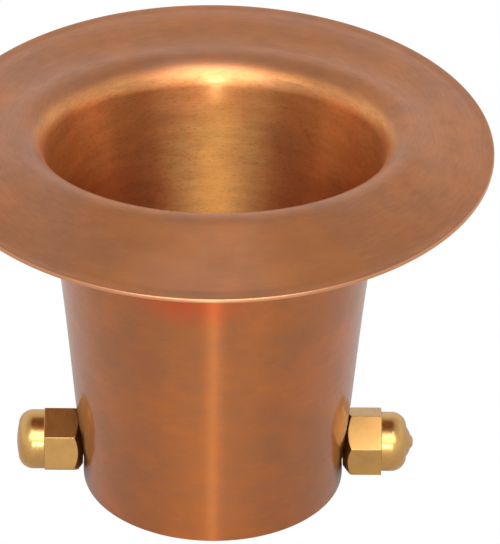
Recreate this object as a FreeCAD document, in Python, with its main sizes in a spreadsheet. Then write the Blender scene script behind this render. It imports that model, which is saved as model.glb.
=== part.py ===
# Rain chain gutter adapter: a spun copper sleeve with a dished flange, and a
# cross rod held by a brass cap nut at each end. The sleeve drops through the
# outlet hole of a gutter, and the top link of a rain chain hangs on the rod.
#
# Frame: millimetres, +Z up along the sleeve, +X along the rod, and the origin
# at the centre of the outlet rim, which is the sleeve's lower end.

import FreeCAD, Part
import math
import os
import Sketcher

from FreeCAD import Placement, Rotation, Vector

# Driving dimensions, one row each: alias, value, what it is.
SIZES = [
    # Copper sleeve
    ("sheet_wall", 0.8, "thickness of the copper sheet"),
    ("outlet_radius", 23.6, "outside radius of the outlet rim"),
    ("taper_angle", 5.4, "lean of the sleeve's wall, degrees"),
    ("land_height", 68.1, "height of the flange's underside at its rim"),
    ("flange_radius", 50.8, "outside radius of the flange"),
    ("flange_slope", 24.0, "rise of the flange towards the throat, degrees"),
    ("throat_bend", 4.2, "inside radius of the bend from wall to flange"),
    ("rim_bend", 4.0, "radius of the bend that flattens the flange's rim"),
    ("rim_land", 1.2, "width of the flat land at the rim"),
    ("edge_round", 0.25, "rounding of the cut edges of the sheet"),
    # Cross rod
    ("rod_radius", 3.175, "radius of the rod's plain middle"),
    ("rod_height", 6.5, "height of the rod's axis above the outlet rim"),
    ("hole_clearance", 0.1, "radial clearance of the rod in the wall"),
    ("thread_radius", 3.1, "outside radius of the threaded ends"),
    ("thread_grip", 7.2, "length of thread inside each cap nut"),
    ("thread_relief", 0.3, "length of thread left outside each cap nut"),
    ("rod_tip_chamfer", 0.7, "chamfer on each end of the rod"),
    # Cap nuts
    ("seat_depth", 1.05, "how far the tightened nut has pressed the wall in"),
    ("seat_margin", 0.4, "width of the pressed flat around the bearing face"),
    ("press_angle", 30.0, "slope of the dent around that flat, degrees"),
    ("press_reach", 2.0, "how far out the shape of the dent is carried"),
    ("nut_seat_gap", 0.15, "gap from a nut's face to the flat under it"),
    ("nut_flats", 11.1, "width across the flats of the hexagon"),
    ("nut_hex", 7.0, "length of the hexagon, chamfer included"),
    ("nut_chamfer", 1.5, "length of the chamfer at the bearing face"),
    ("nut_face_radius", 4.0, "radius of the bearing face"),
    ("nut_bore_clearance", 0.06, "radial clearance over the thread"),
    ("nut_bore_depth", 8.0, "depth of the blind bore at full diameter"),
    ("nut_countersink", 0.4, "chamfer at the mouth of the bore"),
    ("drill_slope", 31.0, "slope of the drill point in the bore, degrees"),
    ("cap_radius", 5.4, "radius of the cap beside the hexagon"),
    ("left_cap", 4.75, "length of the left nut's cap beyond the hexagon"),
    ("right_cap", 4.95, "length of the right nut's cap beyond the hexagon"),
    ("left_crown", 2.7, "rounding of the left nut's cap"),
    ("right_crown", 3.8, "rounding of the right nut's cap"),
    ("cap_bulge", 0.3, "rise of the cap's end face at its middle"),
    ("pip_radius", 1.4, "radius of the pip that parting off left"),
    ("pip_length", 0.5, "height of that pip"),
    ("left_turn", 5.0, "turn of the left nut at rest, degrees"),
    ("right_turn", 11.4, "turn of the right nut at rest, degrees"),
    # Cutting and finishing
    ("overcut", 2.0, "how far the chamfering tool runs past the corners"),
    ("round_share", 0.45, "largest share of a wall that a rounding takes"),
]

doc = FreeCAD.newDocument("RainChainAdapter")
sheet = doc.addObject("Spreadsheet::Sheet", "Sizes")
for row, (alias, value, meaning) in enumerate(SIZES, start=1):
    sheet.set("A%d" % row, meaning)
    sheet.set("B%d" % row, str(value))
    sheet.setAlias("B%d" % row, alias)
doc.recompute()


def size(alias):
    """The value of one driving dimension."""
    return float(sheet.get(alias))


def tan_deg(angle):
    return math.tan(math.radians(angle))


def origin_plane(body, role):
    """One of a body's own origin planes, found by its role."""
    for feature in body.Origin.OriginFeatures:
        if feature.Role == role:
            return feature
    raise ValueError("no plane " + role)


def new_body(label):
    body = doc.addObject("PartDesign::Body", label)
    body.Label = label
    return body


def new_sketch(body, name, role):
    sketch = body.newObject("Sketcher::SketchObject", name)
    sketch.AttachmentSupport = (origin_plane(body, role), [""])
    sketch.MapMode = "FlatFace"
    return sketch


def bind(sketch, constraint, expression):
    """Add a constraint whose value the sheet drives."""
    index = sketch.addConstraint(constraint)
    sketch.setExpression("Constraints[%d]" % index, expression)
    return index


def line(sketch, start, end):
    return sketch.addGeometry(Part.LineSegment(Vector(*start, 0), Vector(*end, 0)))


def arc(sketch, centre, radius, first, last):
    """An arc that runs anticlockwise from angle first to angle last."""
    circle = Part.Circle(Vector(*centre, 0), Vector(0, 0, 1), radius)
    return sketch.addGeometry(Part.ArcOfCircle(circle, first, last))


# Numbers for the points of a line or arc, and for the sketch's own axes.
START, END, CENTRE = range(1, 4)
H_AXIS, V_AXIS = range(-1, -3, -1)


def join(sketch, first, first_end, second, second_end):
    sketch.addConstraint(Sketcher.Constraint("Coincident", first, first_end, second, second_end))


def smooth(sketch, first, first_end, second, second_end):
    sketch.addConstraint(Sketcher.Constraint("Tangent", first, first_end, second, second_end))


def on_axis(sketch, geometry, point, axis):
    sketch.addConstraint(Sketcher.Constraint("PointOnObject", geometry, point, axis))


def revolve(body, sketch, name, axis, kind="PartDesign::Revolution"):
    feature = body.newObject(kind, name)
    feature.Profile = sketch
    feature.ReferenceAxis = (sketch, [axis])
    feature.Angle = 360
    sketch.Visibility = False
    doc.recompute()
    return feature


# Distances along the rod. The leaning wall stands out furthest at the top of
# a nut's bearing face, and tightening has pressed the wall in behind that.

SEAT_REACH = ("(Sizes.outlet_radius + (Sizes.rod_height + Sizes.nut_face_radius)"
              " * tan(Sizes.taper_angle * 1 deg) - Sizes.seat_depth%s) * 1 mm")


def seat_x():
    top = size("rod_height") + size("nut_face_radius")
    return size("outlet_radius") + top * tan_deg(size("taper_angle")) - size("seat_depth")


def nut_face_x():
    return seat_x() + size("nut_seat_gap")


# Copper sleeve: one sheet, spun to a tapered tube that turns over a round
# throat into a dished flange, whose rim is bent flat to lie on the gutter.

def make_sleeve():
    body = new_body("spun_sheet")
    wall = size("sheet_wall")
    lean = math.radians(size("taper_angle"))
    slope = math.radians(size("flange_slope"))
    bend = size("throat_bend")
    rim_bend = size("rim_bend")
    land_height = size("land_height")
    outer = size("flange_radius")

    # Centre of the rim's bend, above the sheet.
    rim_x = outer - size("rim_land")
    rim_z = land_height + rim_bend
    # Centre of the throat's bend, below the sheet: it is one bend away from
    # the wall's line and from the flange's line, which both are known.
    wall_x = size("outlet_radius") + bend / math.cos(lean)
    rise = (bend + rim_bend) / math.cos(slope)
    steepness = 1 + math.tan(slope) * math.tan(lean)
    throat_z = (rim_z - rise + math.tan(slope) * (rim_x - wall_x)) / steepness
    throat_x = wall_x + throat_z * math.tan(lean)

    def at(centre, radius, angle):
        return (centre[0] + radius * math.cos(angle), centre[1] + radius * math.sin(angle))

    throat = (throat_x, throat_z)
    rim = (rim_x, rim_z)
    wall_angle = math.pi - lean
    flange_angle = math.pi / 2 - slope
    rim_angle = 1.5 * math.pi - slope
    foot = size("outlet_radius")
    inner_foot = foot - wall / math.cos(lean)

    sketch = new_sketch(body, "sleeve_profile", "XZ_Plane")
    outside = line(sketch, (foot, 0), at(throat, bend, wall_angle))
    under_throat = arc(sketch, throat, bend, flange_angle, wall_angle)
    under_flange = line(sketch, at(throat, bend, flange_angle), at(rim, rim_bend, rim_angle))
    under_rim = arc(sketch, rim, rim_bend, rim_angle, 1.5 * math.pi)
    under_land = line(sketch, (rim_x, land_height), (outer, land_height))
    rim_edge = line(sketch, (outer, land_height), (outer, land_height + wall))
    top_land = line(sketch, (outer, land_height + wall), (rim_x, land_height + wall))
    top_rim = arc(sketch, rim, rim_bend - wall, rim_angle, 1.5 * math.pi)
    top_flange = line(sketch, at(rim, rim_bend - wall, rim_angle), at(throat, bend + wall, flange_angle))
    top_throat = arc(sketch, throat, bend + wall, flange_angle, wall_angle)
    inside = line(sketch, at(throat, bend + wall, wall_angle), (inner_foot, 0))
    outlet_rim = line(sketch, (inner_foot, 0), (foot, 0))

    smooth(sketch, outside, END, under_throat, END)
    smooth(sketch, under_throat, START, under_flange, START)
    smooth(sketch, under_flange, END, under_rim, START)
    smooth(sketch, under_rim, END, under_land, START)
    join(sketch, under_land, END, rim_edge, START)
    join(sketch, rim_edge, END, top_land, START)
    smooth(sketch, top_land, END, top_rim, END)
    smooth(sketch, top_rim, START, top_flange, START)
    smooth(sketch, top_flange, END, top_throat, START)
    smooth(sketch, top_throat, END, inside, START)
    join(sketch, inside, END, outlet_rim, START)
    join(sketch, outlet_rim, END, outside, START)
    join(sketch, top_throat, CENTRE, under_throat, CENTRE)
    join(sketch, top_rim, CENTRE, under_rim, CENTRE)
    sketch.addConstraint(Sketcher.Constraint("Parallel", outside, inside))
    sketch.addConstraint(Sketcher.Constraint("Parallel", under_flange, top_flange))
    sketch.addConstraint(Sketcher.Constraint("Horizontal", under_land))
    sketch.addConstraint(Sketcher.Constraint("Vertical", rim_edge))
    sketch.addConstraint(Sketcher.Constraint("Horizontal", top_land))
    on_axis(sketch, outside, START, H_AXIS)
    on_axis(sketch, inside, END, H_AXIS)
    bind(sketch, Sketcher.Constraint("Radius", under_throat, bend), "Sizes.throat_bend * 1 mm")
    bind(sketch, Sketcher.Constraint("Radius", top_throat, bend + wall),
         "(Sizes.throat_bend + Sizes.sheet_wall) * 1 mm")
    bind(sketch, Sketcher.Constraint("Radius", under_rim, rim_bend), "Sizes.rim_bend * 1 mm")
    bind(sketch, Sketcher.Constraint("DistanceX", outside, START, foot), "Sizes.outlet_radius * 1 mm")
    bind(sketch, Sketcher.Constraint("DistanceX", under_land, END, outer), "Sizes.flange_radius * 1 mm")
    bind(sketch, Sketcher.Constraint("DistanceY", under_land, END, land_height), "Sizes.land_height * 1 mm")
    bind(sketch, Sketcher.Constraint("DistanceX", under_land, START, under_land, END, size("rim_land")),
         "Sizes.rim_land * 1 mm")
    bind(sketch, Sketcher.Constraint("Angle", outside, math.pi / 2 - lean),
         "(90 - Sizes.taper_angle) * 1 deg")
    bind(sketch, Sketcher.Constraint("Angle", under_flange, -slope), "-Sizes.flange_slope * 1 deg")
    doc.recompute()
    spun = revolve(body, sketch, "spun_profile", "V_Axis")

    # Cut edges of the sheet, rounded: both rims of the outlet and of the flange.
    rims = []
    for index, edge in enumerate(spun.Shape.Edges, start=1):
        if not isinstance(edge.Curve, Part.Circle):
            continue
        at_outlet = abs(edge.Curve.Center.z) < 1e-6
        at_flange = abs(edge.Curve.Radius - outer) < 1e-6
        if at_outlet or at_flange:
            rims.append("Edge%d" % index)
    rounding = body.newObject("PartDesign::Fillet", "rounded_rims")
    rounding.Base = (spun, rims)
    rounding.setExpression("Radius", "min(Sizes.edge_round; Sizes.round_share * Sizes.sheet_wall) * 1 mm")
    doc.recompute()
    return press_and_drill(body)


def cone_along(name, sign, reach, radius, height):
    """A cone round the rod's axis that widens outwards, on the side that sign gives."""
    cone = doc.addObject("Part::Cone", name)
    cone.Placement = Placement(Vector(0, 0, size("rod_height")), Rotation(Vector(0, 1, 0), 90 * sign))
    cone.setExpression("Placement.Base.x", ("-" if sign < 0 else "") + reach)
    cone.setExpression("Placement.Base.z", "Sizes.rod_height * 1 mm")
    cone.setExpression("Radius1", "(%s) * 1 mm" % radius)
    cone.setExpression("Radius2", "(%s + Sizes.press_reach / tan(Sizes.press_angle * 1 deg)) * 1 mm" % radius)
    cone.setExpression("Height", "(%s) * 1 mm" % height)
    return cone


def press_and_drill(spun):
    """The spun sheet with a dent under each nut, as thick as the rest, and the rod's holes."""
    # Middle of the wall's thickness. The pressed-in metal starts from here.
    wall = doc.addObject("Part::Cone", "middle_of_wall")
    wall.setExpression("Radius1", "(Sizes.outlet_radius - Sizes.sheet_wall / 2) * 1 mm")
    wall.setExpression("Radius2", "(Sizes.outlet_radius - Sizes.sheet_wall / 2"
                       " + Sizes.land_height / 2 * tan(Sizes.taper_angle * 1 deg)) * 1 mm")
    wall.setExpression("Height", "Sizes.land_height / 2 * 1 mm")

    flat = "Sizes.nut_face_radius + Sizes.seat_margin"
    behind = flat + " + Sizes.sheet_wall * tan(Sizes.press_angle / 2 * 1 deg)"
    metal = [spun]
    cuts = []
    for side, sign in (("left", -1), ("right", 1)):
        form = cone_along(side + "_form", sign, SEAT_REACH % " - Sizes.sheet_wall", behind,
                          "Sizes.press_reach")
        swelling = doc.addObject("Part::Common", side + "_swelling")
        swelling.Base = form
        swelling.Tool = wall
        metal.append(swelling)
        cuts.append(cone_along(side + "_dent", sign, SEAT_REACH % "", flat, "Sizes.press_reach"))

    drill = doc.addObject("Part::Cylinder", "rod_drill")
    drill.Placement = Placement(Vector(0, 0, size("rod_height")), Rotation(Vector(0, 1, 0), 90))
    drill.setExpression("Placement.Base.x", "-Sizes.flange_radius * 1 mm")
    drill.setExpression("Placement.Base.z", "Sizes.rod_height * 1 mm")
    drill.setExpression("Radius", "(Sizes.rod_radius + Sizes.hole_clearance) * 1 mm")
    drill.setExpression("Height", "2 * Sizes.flange_radius * 1 mm")
    cuts.append(drill)

    pressed = doc.addObject("Part::MultiFuse", "pressed_sheet")
    pressed.Shapes = metal
    tools = doc.addObject("Part::MultiFuse", "dents_and_drill")
    tools.Shapes = cuts
    sleeve = doc.addObject("Part::Cut", "flanged_sleeve")
    sleeve.Label = "flanged_sleeve"
    sleeve.Base = pressed
    sleeve.Tool = tools
    doc.recompute()
    if not sleeve.Shape.Volume < pressed.Shape.Volume or not pressed.Shape.Volume > spun.Shape.Volume:
        raise RuntimeError("the dents or the holes missed the wall")
    return sleeve


# Cross rod: plain in the middle, where the chain hangs, and turned down at
# each end for the thread. The shoulders stop the nuts before they crush the
# sleeve.

def make_rod():
    body = new_body("cross_rod")
    shoulder = nut_face_x() - size("thread_relief")
    tip = nut_face_x() + size("thread_grip")
    chamfer = size("rod_tip_chamfer")
    plain = size("rod_radius")
    thread = size("thread_radius")

    sketch = new_sketch(body, "rod_profile", "XZ_Plane")
    points = [(-tip, 0), (-tip, thread - chamfer), (-tip + chamfer, thread), (-shoulder, thread),
              (-shoulder, plain), (shoulder, plain), (shoulder, thread), (tip - chamfer, thread),
              (tip, thread - chamfer), (tip, 0)]
    edges = [line(sketch, a, b) for a, b in zip(points, points[1:] + points[:1])]
    for first, second in zip(edges, edges[1:] + edges[:1]):
        join(sketch, first, END, second, START)
    left_end, left_bevel, left_thread, left_step, middle = edges[:5]
    right_step, right_thread, right_bevel, right_end, axis = edges[5:]
    for upright in (left_end, left_step, right_step, right_end):
        sketch.addConstraint(Sketcher.Constraint("Vertical", upright))
    for level in (left_thread, middle, right_thread):
        sketch.addConstraint(Sketcher.Constraint("Horizontal", level))
    on_axis(sketch, axis, START, H_AXIS)
    on_axis(sketch, axis, END, H_AXIS)
    for end, step, thread_line, bevel, sign in ((left_end, left_step, left_thread, left_bevel, -1),
                                                (right_end, right_step, right_thread, right_bevel, 1)):
        outer_point = START if sign < 0 else END
        bind(sketch, Sketcher.Constraint("DistanceX", end, outer_point, sign * tip),
             ("-" if sign < 0 else "") + SEAT_REACH % " + Sizes.nut_seat_gap + Sizes.thread_grip")
        bind(sketch, Sketcher.Constraint("DistanceX", step, START, sign * shoulder),
             ("-" if sign < 0 else "") + SEAT_REACH % " + Sizes.nut_seat_gap - Sizes.thread_relief")
        bind(sketch, Sketcher.Constraint("DistanceY", thread_line, START, thread),
             "Sizes.thread_radius * 1 mm")
        bind(sketch, Sketcher.Constraint("DistanceX", bevel, START, bevel, END, chamfer),
             "Sizes.rod_tip_chamfer * 1 mm")
        bind(sketch, Sketcher.Constraint("DistanceY", bevel, START if sign < 0 else END,
                                         bevel, END if sign < 0 else START, chamfer),
             "Sizes.rod_tip_chamfer * 1 mm")
    bind(sketch, Sketcher.Constraint("DistanceY", middle, START, plain), "Sizes.rod_radius * 1 mm")
    doc.recompute()
    revolve(body, sketch, "turned_rod", "H_Axis")
    body.Placement = Placement(Vector(0, 0, size("rod_height")), Rotation())
    body.setExpression("Placement.Base.z", "Sizes.rod_height * 1 mm")
    return body


# Cap nut: a hexagon with a chamfered bearing face, a turned cap with a
# rounded crown, and a blind bore. It is built along its own +Z, from the
# bearing face outwards, and then laid along the rod.

def make_cap_nut(label, side, has_pip, direction):
    body = new_body(label)
    flats = size("nut_flats")
    hex_length = size("nut_hex")
    corner = flats / math.sqrt(3)
    crown = size(side + "_crown")
    cap = size("cap_radius")
    end_z = hex_length + size(side + "_cap")

    # Hexagon, cut from bar.
    bar = new_sketch(body, label + "_hexagon", "XY_Plane")
    angles = [math.radians(60 * k) for k in range(6)]
    corners = [(corner * math.cos(angle), corner * math.sin(angle)) for angle in angles]
    sides = [line(bar, a, b) for a, b in zip(corners, corners[1:] + corners[:1])]
    guide = bar.addGeometry(Part.Circle(Vector(0, 0, 0), Vector(0, 0, 1), corner), True)
    join(bar, guide, CENTRE, H_AXIS, START)
    for first, second in zip(sides, sides[1:] + sides[:1]):
        join(bar, first, END, second, START)
        on_axis(bar, first, START, guide)
    for first, second in zip(sides, sides[1:]):
        bar.addConstraint(Sketcher.Constraint("Equal", first, second))
    on_axis(bar, sides[0], START, H_AXIS)
    bind(bar, Sketcher.Constraint("Radius", guide, corner), "Sizes.nut_flats / sqrt(3) * 1 mm")
    hexagon = body.newObject("PartDesign::Pad", label + "_bar")
    hexagon.Profile = bar
    hexagon.setExpression("Length", "Sizes.nut_hex * 1 mm")
    bar.Visibility = False
    doc.recompute()

    # Cap, turned beyond the hexagon, with a rounded crown and a bulged end.
    turning = new_sketch(body, label + "_cap", "XZ_Plane")
    flat = cap - crown
    bulge = size("cap_bulge")
    ball = (flat ** 2 + bulge ** 2) / (2 * bulge)
    reach = math.asin(flat / ball)
    axis = line(turning, (0, 0), (0, end_z + bulge))
    end_arc = arc(turning, (0, end_z + bulge - ball), ball, math.pi / 2 - reach, math.pi / 2)
    crown_arc = arc(turning, (flat, end_z - crown), crown, 0, math.pi / 2)
    flank = line(turning, (cap, end_z - crown), (cap, 0))
    base = line(turning, (cap, 0), (0, 0))
    join(turning, axis, END, end_arc, END)
    join(turning, end_arc, START, crown_arc, END)
    smooth(turning, crown_arc, START, flank, START)
    join(turning, flank, END, base, START)
    join(turning, base, END, axis, START)
    turning.addConstraint(Sketcher.Constraint("Vertical", flank))
    join(turning, axis, START, H_AXIS, START)
    on_axis(turning, axis, END, V_AXIS)
    on_axis(turning, end_arc, CENTRE, V_AXIS)
    on_axis(turning, flank, END, H_AXIS)
    turning.addConstraint(Sketcher.Constraint("Vertical", crown_arc, CENTRE, crown_arc, END))
    bind(turning, Sketcher.Constraint("DistanceX", flank, END, cap), "Sizes.cap_radius * 1 mm")
    bind(turning, Sketcher.Constraint("Radius", crown_arc, crown), "Sizes.%s_crown * 1 mm" % side)
    bind(turning, Sketcher.Constraint("DistanceY", crown_arc, END, end_z),
         "(Sizes.nut_hex + Sizes.%s_cap) * 1 mm" % side)
    bind(turning, Sketcher.Constraint("DistanceY", axis, END, end_z + bulge),
         "(Sizes.nut_hex + Sizes.%s_cap + Sizes.cap_bulge) * 1 mm" % side)
    doc.recompute()
    revolve(body, turning, label + "_crown", "V_Axis")

    # Pip left on the end by parting off.
    if has_pip:
        spot = new_sketch(body, label + "_pip_profile", "XY_Plane")
        circle = spot.addGeometry(Part.Circle(Vector(0, 0, 0), Vector(0, 0, 1), size("pip_radius")))
        join(spot, circle, CENTRE, H_AXIS, START)
        bind(spot, Sketcher.Constraint("Radius", circle, size("pip_radius")), "Sizes.pip_radius * 1 mm")
        pip = body.newObject("PartDesign::Pad", label + "_pip")
        pip.Profile = spot
        pip.setExpression("Length",
                          "(Sizes.nut_hex + Sizes.%s_cap + Sizes.cap_bulge + Sizes.pip_length) * 1 mm" % side)
        spot.Visibility = False
        doc.recompute()
        rim = [
            "Edge%d" % index for index, edge in enumerate(pip.Shape.Edges, start=1)
            if isinstance(edge.Curve, Part.Circle) and abs(edge.Curve.Radius - size("pip_radius")) < 1e-6
            and edge.Curve.Center.z > end_z + bulge
        ]
        rounding = body.newObject("PartDesign::Fillet", label + "_pip_round")
        rounding.Base = (pip, rim)
        rounding.setExpression("Radius", "Sizes.round_share * min(Sizes.pip_length; Sizes.pip_radius) * 1 mm")
        doc.recompute()

    # Chamfer that leaves a round bearing face.
    bevel = new_sketch(body, label + "_chamfer_profile", "XZ_Plane")
    face = size("nut_face_radius")
    chamfer = size("nut_chamfer")
    outer = corner + size("overcut")
    run = (outer - face) * chamfer / (corner - face)
    slant = line(bevel, (face, 0), (outer, run))
    drop = line(bevel, (outer, run), (outer, 0))
    floor = line(bevel, (outer, 0), (face, 0))
    join(bevel, slant, END, drop, START)
    join(bevel, drop, END, floor, START)
    join(bevel, floor, END, slant, START)
    bevel.addConstraint(Sketcher.Constraint("Vertical", drop))
    on_axis(bevel, slant, START, H_AXIS)
    on_axis(bevel, drop, END, H_AXIS)
    bind(bevel, Sketcher.Constraint("DistanceX", slant, START, face), "Sizes.nut_face_radius * 1 mm")
    bind(bevel, Sketcher.Constraint("DistanceX", drop, END, outer),
         "(Sizes.nut_flats / sqrt(3) + Sizes.overcut) * 1 mm")
    bind(bevel, Sketcher.Constraint("DistanceY", drop, END, drop, START, run),
         "(Sizes.nut_flats / sqrt(3) + Sizes.overcut - Sizes.nut_face_radius) * Sizes.nut_chamfer"
         " / (Sizes.nut_flats / sqrt(3) - Sizes.nut_face_radius) * 1 mm")
    doc.recompute()
    revolve(body, bevel, label + "_chamfer", "V_Axis", "PartDesign::Groove")

    # Blind bore with a drill point and a countersunk mouth.
    drill = new_sketch(body, label + "_bore_profile", "XZ_Plane")
    bore = size("thread_radius") + size("nut_bore_clearance")
    depth = size("nut_bore_depth")
    sink = size("nut_countersink")
    point = bore * tan_deg(size("drill_slope"))
    outline = [(0, 0), (bore + sink, 0), (bore, sink), (bore, depth), (0, depth + point)]
    cuts = [line(drill, a, b) for a, b in zip(outline, outline[1:] + outline[:1])]
    mouth, countersink, wall, drill_point, centre_line = cuts
    for first, second in zip(cuts, cuts[1:] + cuts[:1]):
        join(drill, first, END, second, START)
    join(drill, mouth, START, H_AXIS, START)
    on_axis(drill, mouth, END, H_AXIS)
    on_axis(drill, centre_line, START, V_AXIS)
    drill.addConstraint(Sketcher.Constraint("Vertical", wall))
    bind(drill, Sketcher.Constraint("DistanceX", mouth, END, bore + sink),
         "(Sizes.thread_radius + Sizes.nut_bore_clearance + Sizes.nut_countersink) * 1 mm")
    bind(drill, Sketcher.Constraint("DistanceX", wall, END, bore),
         "(Sizes.thread_radius + Sizes.nut_bore_clearance) * 1 mm")
    bind(drill, Sketcher.Constraint("DistanceY", wall, START, sink), "Sizes.nut_countersink * 1 mm")
    bind(drill, Sketcher.Constraint("DistanceY", wall, END, depth), "Sizes.nut_bore_depth * 1 mm")
    bind(drill, Sketcher.Constraint("DistanceY", centre_line, START, depth + point),
         "(Sizes.nut_bore_depth + (Sizes.thread_radius + Sizes.nut_bore_clearance)"
         " * tan(Sizes.drill_slope * 1 deg)) * 1 mm")
    doc.recompute()
    revolve(body, drill, label + "_bore", "V_Axis", "PartDesign::Groove")

    # Laid along the rod: the nut's own +Z becomes +X or -X.
    lay = Rotation(Vector(0, 1, 0), 90 * direction)
    turn = Rotation(Vector(0, 0, 1), size(side + "_turn"))
    place = Vector(direction * nut_face_x(), 0, size("rod_height"))
    body.Placement = Placement(place, lay.multiply(turn))
    face_place = SEAT_REACH % " + Sizes.nut_seat_gap"
    body.setExpression("Placement.Base.x", ("-" if direction < 0 else "") + face_place)
    body.setExpression("Placement.Base.z", "Sizes.rod_height * 1 mm")
    return body


bodies = [
    make_sleeve(),
    make_rod(),
    make_cap_nut("cap_nut_left", "left", False, -1),
    make_cap_nut("cap_nut_right", "right", True, 1),
]

# Nothing is written unless every object and every shape is sound.
doc.recompute()
for item in doc.Objects:
    if "Invalid" in item.State or "Error" in item.State:
        raise RuntimeError("failed object: " + item.Label)
for body in bodies:
    if body.Shape.isNull() or not body.Shape.isValid() or not body.Shape.Solids:
        raise RuntimeError("bad shape: " + body.Label)

os.makedirs("parts", exist_ok=True)
for body in bodies:
    body.Shape.exportStep(os.path.join("parts", body.Label + ".step"))
    box = body.Shape.BoundBox
    print("%-16s solids %d volume %9.2f mm3  x %.2f..%.2f  y %.2f..%.2f  z %.2f..%.2f" % (
        body.Label, len(body.Shape.Solids), body.Shape.Volume,
        box.XMin, box.XMax, box.YMin, box.YMax, box.ZMin, box.ZMax))
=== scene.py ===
import math

import bmesh
import bpy
from mathutils import Matrix, Vector


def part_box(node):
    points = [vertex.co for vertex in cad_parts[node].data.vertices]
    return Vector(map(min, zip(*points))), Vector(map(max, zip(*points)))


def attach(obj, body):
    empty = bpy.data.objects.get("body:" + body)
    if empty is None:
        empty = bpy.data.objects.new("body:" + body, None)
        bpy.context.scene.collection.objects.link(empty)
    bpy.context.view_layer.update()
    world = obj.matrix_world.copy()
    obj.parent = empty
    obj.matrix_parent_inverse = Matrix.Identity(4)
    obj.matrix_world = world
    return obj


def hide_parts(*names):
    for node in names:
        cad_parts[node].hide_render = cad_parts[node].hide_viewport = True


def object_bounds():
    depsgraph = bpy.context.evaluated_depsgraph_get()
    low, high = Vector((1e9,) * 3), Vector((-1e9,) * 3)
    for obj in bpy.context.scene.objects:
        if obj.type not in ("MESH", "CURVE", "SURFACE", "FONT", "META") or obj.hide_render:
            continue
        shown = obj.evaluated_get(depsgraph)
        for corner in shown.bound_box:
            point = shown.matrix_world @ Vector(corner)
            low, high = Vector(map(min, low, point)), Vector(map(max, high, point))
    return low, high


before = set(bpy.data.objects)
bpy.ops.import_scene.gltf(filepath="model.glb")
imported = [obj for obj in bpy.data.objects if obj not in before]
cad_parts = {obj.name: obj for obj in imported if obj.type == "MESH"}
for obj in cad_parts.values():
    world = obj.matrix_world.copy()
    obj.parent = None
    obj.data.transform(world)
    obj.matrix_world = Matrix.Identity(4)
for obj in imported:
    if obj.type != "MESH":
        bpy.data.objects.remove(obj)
cad_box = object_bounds()
scene = bpy.context.scene
MM = 0.001


# The view: the adapter fills the picture, seen from in front and well above,
# through a long lens, so that its upright sides hardly lean together.

LOOK_AT = Vector((0, 0, 42.57)) * MM
VIEW_DISTANCE = 1.9016
VIEW_HEIGHT = 32.32
VIEW_ROLL = 0.42
IMAGE_LONG_SIDE = 544
FOCAL_PIXELS = 10526
AXIS_RIGHT = 35.8
AXIS_UP = 1.0
SENSOR = 36.0


def in_front(elevation):
    """The direction from the adapter to the front, and up by that many degrees."""
    angle = math.radians(elevation)
    return Vector((0, -math.cos(angle), math.sin(angle)))


lens = bpy.data.cameras.new("studio_camera")
camera = bpy.data.objects.new("studio_camera", lens)
scene.collection.objects.link(camera)
camera.location = LOOK_AT + VIEW_DISTANCE * in_front(VIEW_HEIGHT)
tilt = Matrix.Rotation(math.radians(90 - VIEW_HEIGHT), 3, "X")
tilt = tilt @ Matrix.Rotation(math.radians(VIEW_ROLL), 3, "Z")
camera.rotation_euler = tilt.to_euler()
lens.sensor_width = SENSOR
lens.lens = SENSOR * FOCAL_PIXELS / IMAGE_LONG_SIDE
lens.shift_x = AXIS_RIGHT / IMAGE_LONG_SIDE
lens.shift_y = AXIS_UP / IMAGE_LONG_SIDE
lens.clip_start = 0.1
lens.clip_end = 20
scene.camera = camera
scene.view_settings.view_transform = "Standard"
scene.cycles.glossy_bounces = 10


# Copper sleeve: one disc of 0.8 mm sheet, spun over a former into a tapered
# tube with a round throat and a dished flange. The cap nuts have pressed the
# wall in on each side, round the holes for the rod.

SHEET = 0.8 * MM
OUTLET_RADIUS = 23.6 * MM
TAPER = math.radians(5.4)
LAND_HEIGHT = 68.1 * MM
FLANGE_SLOPE = math.radians(24)
THROAT_BEND = 4.2 * MM
RIM_BEND = 4.0 * MM
RIM_LAND = 1.2 * MM
EDGE_ROUNDING = 0.25 * MM
SPUN_STEPS = 400
MERGE_BELOW = 1e-7
SMOOTH_BELOW = math.radians(30)
CUT_CORNERS = math.radians(60)

THROAT_WIDER = 1.2 * MM
THROAT_NARROWER = 1.6 * MM
OVAL_STARTS = 0.5 * LAND_HEIGHT
BACK_SAG = 5.5 * MM
SAG_STARTS = 0.45 * LAND_HEIGHT
RIM_NARROWER = 0.36 * MM
RIM_TO_LEFT = 0.34 * MM

ROD_HEIGHT = 6.5 * MM
HOLE_RADIUS = 3.275 * MM
DRILL_LENGTH = 80 * MM
ALONG_X = Matrix.Rotation(math.pi / 2, 4, "Y")
DENTS_END = 16 * MM
DENT_FLAT = 4.4 * MM
DENT_SLOPE = math.tan(math.radians(30))
DENT_BLEND = 0.35 * MM
SEAT_GAP = 0.15 * MM

FINISH_MARKS = ("bore", "brim", "cut_edge")
BORE_RANGE = (0.55, 0.95)
BRIM_RANGE = (0.45, 0.85)
CUT_EDGE = 0.15 * MM
BEND_STARTS = 0.2
BEND_ENDS = 0.5


def new_piece(name, bm):
    """Turns a bmesh into a shown piece, smooth except at its sharper edges."""
    mesh = bpy.data.meshes.new(name)
    for face in bm.faces:
        face.smooth = True
    for edge in bm.edges:
        edge.smooth = not edge.is_manifold or edge.calc_face_angle(0) < SMOOTH_BELOW
    bm.to_mesh(mesh)
    bm.free()
    piece = bpy.data.objects.new(name, mesh)
    scene.collection.objects.link(piece)
    return piece


def apply_modifiers(piece):
    """Keeps what the modifiers show as the piece's own mesh."""
    graph = bpy.context.evaluated_depsgraph_get()
    mesh = bpy.data.meshes.new_from_object(piece.evaluated_get(graph))
    piece.modifiers.clear()
    piece.data = mesh


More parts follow.
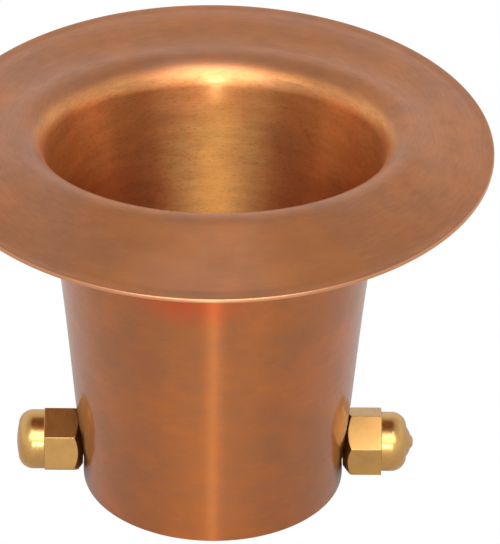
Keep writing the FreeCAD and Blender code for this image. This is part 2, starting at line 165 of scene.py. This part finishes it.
def cut(piece, tool, operation):
    """Cuts, trims or joins a piece with another closed piece, which is used up."""
    knife = piece.modifiers.new("cut", "BOOLEAN")
    knife.operation = operation
    knife.solver = "EXACT"
    knife.object = tool
    apply_modifiers(piece)
    bpy.data.objects.remove(tool)


def bend_points(centre, radius, first, last, count):
    """Points along a bend of the outline, both ends included."""
    angles = [first + (last - first) * k / count for k in range(count + 1)]
    return [(centre[0] + radius * math.cos(a), centre[1] + radius * math.sin(a)) for a in angles]


def straight_points(start, end, count):
    """Points between two ends of a straight stretch of the outline, ends left out."""
    steps = [k / count for k in range(1, count)]
    return [(start[0] + (end[0] - start[0]) * s, start[1] + (end[1] - start[1]) * s) for s in steps]


def spun(outline, steps):
    """A bmesh of an outline turned once round the upright axis, as on a lathe."""
    bm = bmesh.new()
    chain = [bm.verts.new((out, 0, up)) for out, up in outline]
    edges = [bm.edges.new(pair) for pair in zip(chain, chain[1:])]
    bmesh.ops.spin(bm, geom=chain + edges, cent=(0, 0, 0), axis=(0, 0, 1), angle=2 * math.pi,
                   steps=steps, use_merge=True)
    bmesh.ops.remove_doubles(bm, verts=bm.verts, dist=MERGE_BELOW)
    bmesh.ops.recalc_face_normals(bm, faces=bm.faces)
    return bm


def bar_stock(radius, length, lay, segments):
    """A bmesh of a closed round bar, or of a hexagon bar with six segments."""
    bm = bmesh.new()
    bmesh.ops.create_cone(bm, cap_ends=True, segments=segments, radius1=radius, radius2=radius,
                          depth=length, matrix=lay)
    return bm


def progress(value, start, end):
    """How far a value has come from start to end, kept between 0 and 1."""
    return min(1, max(0, (value - start) / (end - start)))


flange_radius = cad_box[1].x
rim_centre = (flange_radius - RIM_LAND, LAND_HEIGHT + RIM_BEND)
wall_x = OUTLET_RADIUS + THROAT_BEND / math.cos(TAPER)
rise = (THROAT_BEND + RIM_BEND) / math.cos(FLANGE_SLOPE)
steepness = 1 + math.tan(FLANGE_SLOPE) * math.tan(TAPER)
throat_z = (rim_centre[1] - rise + math.tan(FLANGE_SLOPE) * (rim_centre[0] - wall_x)) / steepness
throat_centre = (wall_x + throat_z * math.tan(TAPER), throat_z)

foot = (OUTLET_RADIUS, 0)
over_dents = (OUTLET_RADIUS + DENTS_END * math.tan(TAPER), DENTS_END)
throat = bend_points(throat_centre, THROAT_BEND, math.pi - TAPER, math.pi / 2 - FLANGE_SLOPE, count=20)
rim = bend_points(rim_centre, RIM_BEND, 1.5 * math.pi - FLANGE_SLOPE, 1.5 * math.pi, count=8)
section = [foot] + straight_points(foot, over_dents, count=44) + [over_dents]
section += straight_points(over_dents, throat[0], count=8) + throat
section += straight_points(throat[-1], rim[0], count=6) + rim + [(flange_radius, LAND_HEIGHT)]

bm = spun(section, SPUN_STEPS)
outermost = max(bm.faces, key=lambda face: face.calc_center_median().xy.length)
if outermost.normal.z > 0:
    bmesh.ops.reverse_faces(bm, faces=bm.faces)

# The throat is a little oval, wider from nut to nut than from front to back,
# and the soft sheet sags at the back, where the throat's crest is lower. The
# rim is drawn in a little and stands a little to the left.
for vert in bm.verts:
    out = vert.co.xy.length
    off_rim = progress(out, flange_radius - RIM_LAND, throat_centre[0])
    near_throat = progress(vert.co.z, OVAL_STARTS, throat_z)
    up_wall = progress(vert.co.z, SAG_STARTS, throat_z)
    to_back = (1 + vert.co.y / out) / 2
    oval = near_throat * near_throat * off_rim
    drawn_in = RIM_NARROWER * (1 - off_rim)
    vert.co.x *= 1 + (THROAT_WIDER * oval - drawn_in) / out
    vert.co.y *= 1 - (THROAT_NARROWER * oval + drawn_in) / out
    vert.co.x -= RIM_TO_LEFT * (1 - off_rim)
    vert.co.z -= BACK_SAG * to_back * up_wall * off_rim * off_rim * (3 - 2 * off_rim)

# The dents under the nuts: a flat with sloping sides, blended into the wall.
for side, nut in ((-1, "cap_nut_left"), (1, "cap_nut_right")):
    seat = min(abs(corner.x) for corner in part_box(nut)) - SEAT_GAP
    for vert in bm.verts:
        if vert.co.x * side <= 0 or vert.co.z > DENTS_END:
            continue
        beyond_flat = max(0, math.hypot(vert.co.y, vert.co.z - ROD_HEIGHT) - DENT_FLAT)
        form = seat + DENT_SLOPE * beyond_flat * beyond_flat / (beyond_flat + DENT_BLEND)
        proud = abs(vert.co.x) - form
        vert.co.x -= side * (proud + math.hypot(proud, DENT_BLEND)) / 2

bmesh.ops.solidify(bm, geom=bm.faces, thickness=SHEET)
sharp = [edge for edge in bm.edges if edge.calc_face_angle(0) > CUT_CORNERS]
bmesh.ops.bevel(bm, geom=sharp, offset=EDGE_ROUNDING, offset_type="OFFSET", segments=3, profile=0.5,
                affect="EDGES", material=-1)

# Marks for the finish, 0 to 1: the inner wall, the flange, and the flange's cut edge.
bore, brim, cut_edge = (bm.verts.layers.float.new(name) for name in FINISH_MARKS)
bm.normal_update()
for vert in bm.verts:
    inward = -vert.co.xy.normalized().dot(vert.normal.xy)
    vert[bore] = progress(inward, *BORE_RANGE)
    vert[brim] = progress(abs(vert.normal.z), *BRIM_RANGE)
    from_rim = flange_radius - RIM_NARROWER - math.hypot(vert.co.x + RIM_TO_LEFT, vert.co.y)
    vert[cut_edge] = float(from_rim < CUT_EDGE)
sleeve = new_piece("spun_sleeve", bm)
drill_place = Matrix.Translation((0, 0, ROD_HEIGHT)) @ ALONG_X
drill = bar_stock(HOLE_RADIUS, DRILL_LENGTH, drill_place, segments=64)
cut(sleeve, new_piece("drill", drill), "DIFFERENCE")


def new_material(name):
    material = bpy.data.materials.new(name)
    material.use_nodes = True
    material.node_tree.nodes.clear()
    return material, material.node_tree


def node(tree, kind, inputs=None, **settings):
    """Adds one shader node. An input is a value, or the output socket that feeds it."""
    made = tree.nodes.new(kind)
    for key, value in settings.items():
        setattr(made, key, value)
    for key, value in (inputs or {}).items():
        if isinstance(value, bpy.types.NodeSocket):
            tree.links.new(value, made.inputs[key])
        else:
            made.inputs[key].default_value = value
    return made


def maths(tree, operation, *values):
    return node(tree, "ShaderNodeMath", dict(enumerate(values)), operation=operation).outputs[0]


def vector_maths(tree, operation, first, second):
    return node(tree, "ShaderNodeVectorMath", {0: first, 1: second}, operation=operation).outputs[0]


def object_place(tree):
    return node(tree, "ShaderNodeTexCoord").outputs["Object"]


def xyz_of(tree, vector):
    return node(tree, "ShaderNodeSeparateXYZ", {0: vector}).outputs


def noise(tree, vector, scale, detail=3.0, roughness=0.5):
    inputs = {"Vector": vector, "Scale": scale, "Detail": detail, "Roughness": roughness}
    return node(tree, "ShaderNodeTexNoise", inputs).outputs["Fac"]


def ramp(tree, value, low, high, to_low=0.0, to_high=1.0):
    inputs = {"Value": value, "From Min": low, "From Max": high, "To Min": to_low, "To Max": to_high}
    return node(tree, "ShaderNodeMapRange", inputs, clamp=True).outputs[0]


def mix(tree, factor, first, second):
    """Mixes two colours."""
    return node(tree, "ShaderNodeMix", {0: factor, 6: first, 7: second}, data_type="RGBA").outputs[2]


def srgb(red, green, blue):
    """A colour as the eye reads it off a screen, 0 to 255, as Blender's linear value."""
    def linear(channel):
        share = channel / 255
        return share / 12.92 if share <= 0.04045 else ((share + 0.055) / 1.055) ** 2.4
    return (linear(red), linear(green), linear(blue), 1.0)


def around_axis(tree, spread, fineness):
    """Coordinates that run round the sleeve: marks come out long round it and fine along its section."""
    x, y, z = xyz_of(tree, object_place(tree))
    squares = maths(tree, "ADD", maths(tree, "POWER", x, 2.0), maths(tree, "POWER", y, 2.0))
    radius = maths(tree, "SQRT", squares)
    return node(tree, "ShaderNodeCombineXYZ", {
        0: maths(tree, "MULTIPLY", maths(tree, "DIVIDE", x, radius), spread),
        1: maths(tree, "MULTIPLY", maths(tree, "DIVIDE", y, radius), spread),
        2: maths(tree, "MULTIPLY", maths(tree, "ADD", radius, z), fineness),
    }).outputs[0]


def oval_spot(tree, middle, squeeze, near, far, strength):
    """The strength within near of a spot on the copper, and 0 past far. The squeeze makes it an oval."""
    offset = vector_maths(tree, "SUBTRACT", object_place(tree), middle)
    oval = vector_maths(tree, "MULTIPLY", offset, squeeze)
    away = node(tree, "ShaderNodeVectorMath", {0: oval}, operation="LENGTH").outputs["Value"]
    return ramp(tree, away, far, near, 0.0, strength)


WALL_COPPER, WALL_CLOUDED = srgb(193, 107, 36), srgb(178, 102, 43)
FLANGE_COPPER, FLANGE_CLOUDED = srgb(188, 120, 72), srgb(178, 122, 90)
# The inner wall is painted paler and brighter than the outer wall: painted light in the bore.
LIT_INNER_COPPER, LIT_INNER_CLOUDED = srgb(250, 190, 120), srgb(240, 162, 100)
# Painted shade deep in the bore, at its sides.
SHADED_INSIDE = srgb(178, 112, 92)
# Painted highlight: the lamps' bright streak down the middle of the far inner wall.
PAINTED_STREAK = srgb(255, 212, 130)
SCUFFED = srgb(150, 92, 56)
BLOTCHED = srgb(140, 92, 54)
BROADLY_MARKED = srgb(152, 96, 64)
FINELY_MARKED = srgb(118, 72, 42)
# Painted highlight along the flange's rounded cut edge.
PAINTED_EDGE_HIGHLIGHT = srgb(206, 142, 98)
HEAT_RED = srgb(200, 76, 24)
# Painted shade and reflection of the nuts: a dark oval on the wall round each nut.
PAINTED_NUT_SHADE = srgb(76, 40, 22)
HEAT_TINT = (-5.5 * MM, -27.7 * MM, 53.5 * MM)
HEAT_SQUEEZE = (0.55, 1.0, 1.3)
# Where the painted shade round each nut sits, and the shape of its oval.
PAINTED_NUT_SHADE_OUT, PAINTED_NUT_SHADE_UP = 24.0 * MM, 9.5 * MM
PAINTED_NUT_SHADE_SQUEEZE = (0.8, 1.0, 0.95)


def copper_finish(name, anisotropy, clean, dull, coat, coat_roughness):
    """Brushed copper with its tarnish, painted shade and painted highlights, under a clear coat. Clean and
    dull are the roughness of its marks.
    """
    copper, tree = new_material(name)
    place = object_place(tree)
    x, y, z = xyz_of(tree, place)
    bore, brim, cut_edge = (node(tree, "ShaderNodeAttribute", attribute_name=mark).outputs["Fac"]
                            for mark in FINISH_MARKS)
    fine_marks = noise(tree, around_axis(tree, 14.0, 3200.0), 1.0, detail=4.0, roughness=0.65)
    broad_marks = noise(tree, around_axis(tree, 3.0, 420.0), 1.0)
    scuffs = noise(tree, around_axis(tree, 34.0, 2600.0), 1.0, detail=5.0, roughness=0.7)
    clouds = noise(tree, place, 48.0, detail=4.0, roughness=0.55)
    blotches = noise(tree, place, 190.0, detail=5.0, roughness=0.6)

    clouded = ramp(tree, clouds, 0.38, 0.62)
    wall = mix(tree, clouded, WALL_COPPER, WALL_CLOUDED)
    flange = mix(tree, clouded, FLANGE_COPPER, FLANGE_CLOUDED)
    # The inner wall's paler, brighter copper is painted light in the bore.
    inside = mix(tree, ramp(tree, clouds, 0.40, 0.62), LIT_INNER_COPPER, LIT_INNER_CLOUDED)
    sideways = maths(tree, "ABSOLUTE", x)
    # Painted shade: darker at the sides of the bore, lower down.
    painted_deep_shade = maths(tree, "MULTIPLY", ramp(tree, sideways, 10 * MM, 18 * MM),
                 ramp(tree, z, 58 * MM, 40 * MM, 0.0, 0.75))
    inside = mix(tree, painted_deep_shade, inside, SHADED_INSIDE)
    # Painted highlight: a golden streak down the middle of the inner wall.
    middle = maths(tree, "MULTIPLY", ramp(tree, sideways, 9 * MM, 2 * MM, 0.0, 0.95),
                   ramp(tree, z, 66 * MM, 55 * MM))
    inside = mix(tree, middle, inside, PAINTED_STREAK)
    inside = mix(tree, ramp(tree, scuffs, 0.52, 0.66, 0.0, 0.4), inside, SCUFFED)

    colour = mix(tree, brim, wall, flange)
    colour = mix(tree, ramp(tree, blotches, 0.42, 0.75, 0.0, 0.35), colour, BLOTCHED)
    colour = mix(tree, bore, colour, inside)
    colour = mix(tree, ramp(tree, broad_marks, 0.35, 0.65, 0.0, 0.25), colour, BROADLY_MARKED)
    colour = mix(tree, ramp(tree, fine_marks, 0.35, 0.70, 0.0, 0.18), colour, FINELY_MARKED)
    # Painted highlight along the flange's cut edge.
    colour = mix(tree, cut_edge, colour, PAINTED_EDGE_HIGHLIGHT)
    heated = oval_spot(tree, HEAT_TINT, HEAT_SQUEEZE, near=1.0 * MM, far=7.5 * MM, strength=0.8)
    heated_outside = maths(tree, "MULTIPLY", heated, ramp(tree, bore, 0.1, 0.0))
    colour = mix(tree, heated_outside, colour, HEAT_RED)
    # Painted shade and reflection of each nut: a dark oval on the copper round it.
    for side in (-1, 1):
        shaded_by_nut = oval_spot(tree, (side * PAINTED_NUT_SHADE_OUT, 0, PAINTED_NUT_SHADE_UP), PAINTED_NUT_SHADE_SQUEEZE,
                      near=7.0 * MM, far=11.0 * MM, strength=0.8)
        colour = mix(tree, shaded_by_nut, colour, PAINTED_NUT_SHADE)

    rough = maths(tree, "ADD", ramp(tree, fine_marks, 0.3, 0.7, clean, dull),
                  ramp(tree, clouds, 0.35, 0.65, 0.0, 0.04))
    bump = node(tree, "ShaderNodeBump", {"Strength": 0.35, "Distance": 0.02 * MM, "Height": fine_marks})
    tangent = node(tree, "ShaderNodeTangent", direction_type="RADIAL", axis="Z")
    shader = node(tree, "ShaderNodeBsdfPrincipled", {
        "Base Color": colour, "Metallic": 1.0, "Roughness": rough,
        "Normal": bump.outputs[0], "Tangent": tangent.outputs[0],
        "Anisotropic": anisotropy, "Anisotropic Rotation": 0.25,
        "Coat Weight": coat, "Coat Roughness": coat_roughness,
    })
    node(tree, "ShaderNodeOutputMaterial", {"Surface": shader.outputs[0]})
    return copper


# Strongly brushed and clear on the wall, duller as the throat bends over, and satin on the flange.
sleeve.data.materials.clear()
for finish in (("brushed_copper", 0.98, 0.26, 0.34, 0.7, 0.08),
               ("half_brushed_copper", 0.8, 0.33, 0.41, 0.45, 0.2),
               ("satin_copper", 0.4, 0.38, 0.46, 0.2, 0.35)):
    sleeve.data.materials.append(copper_finish(*finish))
for polygon in sleeve.data.polygons:
    lean = abs(polygon.normal.z) if polygon.center.z > LAND_HEIGHT / 2 else 0
    polygon.material_index = int(lean > BEND_STARTS) + int(lean > BEND_ENDS)
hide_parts("flanged_sleeve")
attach(sleeve, "sleeve")


# Cross rod: quarter-inch brass bar through both walls. Its plain middle
# carries the chain, and each end is turned down and threaded for a cap nut.

ROD_RADIUS = 3.175 * MM
THREAD_RADIUS = 3.1 * MM
THREAD_ROOT = 2.45 * MM
THREAD_PITCH = 1.27 * MM
THREAD_STEPS = 48
CREST_FROM, CREST_TO = 0.44, 0.56
THREAD_OVERLAP = 0.2 * MM
SHOULDER_INSET = 0.3 * MM
ROD_TIP_CHAMFER = 0.7 * MM

GOLD, DULL_GOLD = srgb(206, 162, 98), srgb(188, 140, 80)
TURNING_MARKS = (6000.0, 500.0, 500.0)
CAPS_START, CAPS_BEGUN = 30.5 * MM, 30.9 * MM

brass, tree = new_material("turned_brass")
place = object_place(tree)
stretched = node(tree, "ShaderNodeMapping", {"Vector": place, "Scale": TURNING_MARKS}).outputs[0]
turning = noise(tree, stretched, 1.0)
spots = noise(tree, place, 420.0, detail=4.0, roughness=0.6)
gold = mix(tree, ramp(tree, spots, 0.40, 0.70, 0.0, 0.5), GOLD, DULL_GOLD)
on_cap = ramp(tree, maths(tree, "ABSOLUTE", xyz_of(tree, place)[0]), CAPS_START, CAPS_BEGUN)
flats = ramp(tree, turning, 0.3, 0.7, 0.32, 0.40)
turned = ramp(tree, spots, 0.4, 0.7, 0.26, 0.34)
rough = node(tree, "ShaderNodeMix", {0: on_cap, 2: flats, 3: turned}).outputs[0]
bump = node(tree, "ShaderNodeBump", {"Strength": 0.12, "Distance": 0.01 * MM, "Height": turning})
shader = node(tree, "ShaderNodeBsdfPrincipled", {
    "Base Color": gold, "Metallic": 1.0, "Roughness": rough, "Normal": bump.outputs[0],
})
node(tree, "ShaderNodeOutputMaterial", {"Surface": shader.outputs[0]})

rod_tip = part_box("cross_rod")[1].x
nut_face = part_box("cap_nut_right")[0].x
shoulder = nut_face - SHOULDER_INSET
thread_start = shoulder - THREAD_OVERLAP


def cut_thread(begin, end):
    """A bmesh of the thread between two places along the rod, closed and chamfered at the rod's tip."""
    thread = bmesh.new()
    turns = math.ceil((end - begin) / THREAD_PITCH) + 1
    start = begin - 1.5 * THREAD_PITCH
    tooth = [(start, THREAD_ROOT), (start + CREST_FROM * THREAD_PITCH, THREAD_RADIUS),
             (start + CREST_TO * THREAD_PITCH, THREAD_RADIUS), (start + THREAD_PITCH, THREAD_ROOT)]
    chain = [thread.verts.new((x, 0, z)) for x, z in tooth]
    edges = [thread.edges.new(pair) for pair in zip(chain, chain[1:])]
    bmesh.ops.spin(thread, geom=chain + edges, cent=(0, 0, 0), axis=(1, 0, 0),
                   dvec=(THREAD_PITCH / THREAD_STEPS, 0, 0), angle=2 * math.pi * turns,
                   steps=THREAD_STEPS * turns)
    bmesh.ops.remove_doubles(thread, verts=thread.verts, dist=MERGE_BELOW)
    for plane_x, away in ((begin, -1), (end, 1)):
        bmesh.ops.bisect_plane(thread, geom=thread.verts[:] + thread.edges[:] + thread.faces[:],
                               plane_co=(plane_x, 0, 0), plane_no=(away, 0, 0), clear_outer=True)
    for vert in thread.verts:
        allowed = THREAD_RADIUS - max(0, abs(vert.co.x) - rod_tip + ROD_TIP_CHAMFER)
        vert.co.yz *= min(1, allowed / vert.co.yz.length)
    bmesh.ops.edgeloop_fill(thread, edges=[edge for edge in thread.edges if edge.is_boundary])
    bmesh.ops.recalc_face_normals(thread, faces=thread.faces)
    return thread


bm = bar_stock(ROD_RADIUS, 2 * shoulder, ALONG_X, segments=96)
for begin, end in ((-rod_tip, -thread_start), (thread_start, rod_tip)):
    thread = cut_thread(begin, end)
    threaded = bpy.data.meshes.new("thread")
    thread.to_mesh(threaded)
    thread.free()
    bm.from_mesh(threaded)
bmesh.ops.translate(bm, verts=bm.verts, vec=(0, 0, ROD_HEIGHT))
rod = new_piece("turned_rod", bm)
rod.data.materials.append(brass)
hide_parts("cross_rod")
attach(rod, "rod")


# Cap nuts: hexagon brass bar, chamfered at the bearing face, with a turned
# cap. The right one has a rounder crown, and a pip where it was parted off.

NUT_CORNERS = 11.1 * MM / math.sqrt(3)
NUT_HEX = 7.0 * MM
NUT_CHAMFER = 1.5 * MM
NUT_FACE_RADIUS = 4.4 * MM
NUT_BORE = 3.16 * MM
NUT_BORE_DEPTH = 8.0 * MM
CAP_RADIUS = 5.4 * MM
CAP_ROUNDING = 2.7 * MM
PIP_RADIUS = 1.3 * MM
PIP_LENGTH = 0.3 * MM
EDGE_BREAK = 0.22 * MM
OVERLAP = 2.0 * MM


def hexagon_bar():
    """A length of hexagon bar that stands on its bearing face, with its corners turned off there."""
    upright = Matrix.Translation((0, 0, NUT_HEX / 2)) @ Matrix.Rotation(math.pi / 6, 4, "Z")
    bar = new_piece("bar", bar_stock(NUT_CORNERS, NUT_HEX, upright, segments=6))
    wide = NUT_CORNERS + OVERLAP
    cone_height = (wide - NUT_FACE_RADIUS) * NUT_CHAMFER / (NUT_CORNERS - NUT_FACE_RADIUS)
    top = NUT_HEX + OVERLAP / 2
    blank = [(0, 0), (NUT_FACE_RADIUS, 0), (wide, cone_height), (wide, top), (0, top)]
    cut(bar, new_piece("turned_blank", spun(blank, steps=120)), "INTERSECT")
    return bar


def cap_outline(length, bulge, has_pip):
    """The turned cap in outline, from inside the hexagon to the middle of its crowned end."""
    end = NUT_HEX + length
    flat = CAP_RADIUS - CAP_ROUNDING
    ball = (flat ** 2 + bulge ** 2) / (2 * bulge)
    reach = math.asin(flat / ball)
    inner = math.asin(PIP_RADIUS / ball) if has_pip else 0
    outline = [(0, NUT_HEX - OVERLAP), (CAP_RADIUS, NUT_HEX - OVERLAP)]
    outline += bend_points((flat, end - CAP_ROUNDING), CAP_ROUNDING, 0, math.pi / 2, count=16)
    crown = bend_points((0, end + bulge - ball), ball, math.pi / 2 - reach, math.pi / 2 - inner, count=8)
    outline += crown[1:]
    if has_pip:
        tip = end + bulge + PIP_LENGTH
        half_way = (outline[-1][1] + tip) / 2
        outline += [(0.8 * PIP_RADIUS, half_way), (0.45 * PIP_RADIUS, tip), (0, tip)]
    return outline


for label, side, body, length, bulge, has_pip, turn in (
        ("cap_nut_left", -1, "rod", 4.75 * MM, 0.3 * MM, False, 5.0),
        ("cap_nut_right", 1, "nut", 4.55 * MM, 0.9 * MM, True, 11.4)):
    nut = hexagon_bar()
    cap = spun(cap_outline(length, bulge, has_pip), steps=96)
    cut(nut, new_piece("turned_cap", cap), "UNION")
    drill = bar_stock(NUT_BORE, 2 * NUT_BORE_DEPTH, Matrix.Identity(4), segments=64)
    cut(nut, new_piece("drill", drill), "DIFFERENCE")

    rounding = nut.modifiers.new("broken_edges", "BEVEL")
    rounding.width = EDGE_BREAK
    rounding.segments = 3
    rounding.limit_method = "ANGLE"
    rounding.angle_limit = math.radians(25)
    rounding.miter_outer = "MITER_ARC"
    shading = nut.modifiers.new("flat_faces", "WEIGHTED_NORMAL")
    shading.weight = 100
    apply_modifiers(nut)
    lay = Matrix.Translation((side * nut_face, 0, ROD_HEIGHT)) @ Matrix.Rotation(side * math.pi / 2, 4, "Y")
    nut.data.transform(lay @ Matrix.Rotation(math.radians(turn), 4, "Z"))
    nut.name = label + "_turned"
    nut.data.materials.clear()
    nut.data.materials.append(brass)
    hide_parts(label)
    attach(nut, body)


# Table: a plain white sheet that the adapter stands on. The camera sees it
# as pure white, and the copper and brass mirror it greyer.

TABLE_SIZE = 6.0
PAPER = (0.55, 0.55, 0.55, 1)
WHITE = (1, 1, 1, 1)
GLOW_IN_METAL = 0.2


def looked_at(tree):
    """1 for a ray from the camera, or one that metal or glass passes on, and 0 for plain lighting."""
    rays = node(tree, "ShaderNodeLightPath").outputs
    mirrored = maths(tree, "MAXIMUM", rays["Is Glossy Ray"], rays["Is Transmission Ray"])
    return maths(tree, "MAXIMUM", rays["Is Camera Ray"], mirrored)


bm = bmesh.new()
bmesh.ops.create_grid(bm, x_segments=2, y_segments=2, size=TABLE_SIZE / 2)
table = new_piece("table", bm)
white, tree = new_material("white_paper")
paper = node(tree, "ShaderNodeBsdfPrincipled", {"Base Color": PAPER, "Roughness": 0.6})
glow = node(tree, "ShaderNodeEmission", {"Color": WHITE, "Strength": 1.0})
from_camera = node(tree, "ShaderNodeLightPath").outputs["Is Camera Ray"]
glowing = maths(tree, "ADD", maths(tree, "MULTIPLY", from_camera, 1 - GLOW_IN_METAL),
                maths(tree, "MULTIPLY", looked_at(tree), GLOW_IN_METAL))
both = node(tree, "ShaderNodeMixShader", {0: glowing, 1: paper.outputs[0], 2: glow.outputs[0]})
node(tree, "ShaderNodeOutputMaterial", {"Surface": both.outputs[0]})
table.data.materials.append(white)


# Light: a pale room with a greyer ceiling, and three lamps in front. The wide
# one lights the copper, the next one the throat, and the narrow one draws the
# bright line down the brushed wall.

ROOM_LIGHT = 0.8
CEILING_STARTS, CEILING_FULL = 0.5, 0.95
CEILING_LEVEL = 0.55

world = bpy.data.worlds.new("studio")
scene.world = world
world.use_nodes = True
tree = world.node_tree
tree.nodes.clear()
plain = node(tree, "ShaderNodeBackground", {"Color": WHITE, "Strength": ROOM_LIGHT})
upward = xyz_of(tree, node(tree, "ShaderNodeTexCoord").outputs["Generated"])[2]
ceiling = ramp(tree, upward, CEILING_STARTS, CEILING_FULL, 1.0, CEILING_LEVEL)
shown = node(tree, "ShaderNodeBackground", {"Color": WHITE, "Strength": ceiling})
both = node(tree, "ShaderNodeMixShader", {0: looked_at(tree), 1: plain.outputs[0], 2: shown.outputs[0]})
node(tree, "ShaderNodeOutputWorld", {"Surface": both.outputs[0]})


def lamp(name, elevation, distance, width, height, watts):
    """A rectangular lamp straight in front, up by that many degrees, that faces the adapter."""
    light = bpy.data.lights.new(name, "AREA")
    light.shape = "RECTANGLE"
    light.size = width
    light.size_y = height
    light.energy = watts
    holder = bpy.data.objects.new(name, light)
    scene.collection.objects.link(holder)
    holder.location = LOOK_AT + distance * in_front(elevation)
    holder.rotation_euler = in_front(elevation).to_track_quat("Z", "Y").to_euler()


lamp("wide_softbox", elevation=41, distance=2.3, width=2.8, height=0.95, watts=29)
lamp("throat_lamp", elevation=61, distance=2.0, width=1.0, height=0.8, watts=14)
lamp("line_lamp", elevation=11.5, distance=2.3, width=0.03, height=0.2, watts=8)
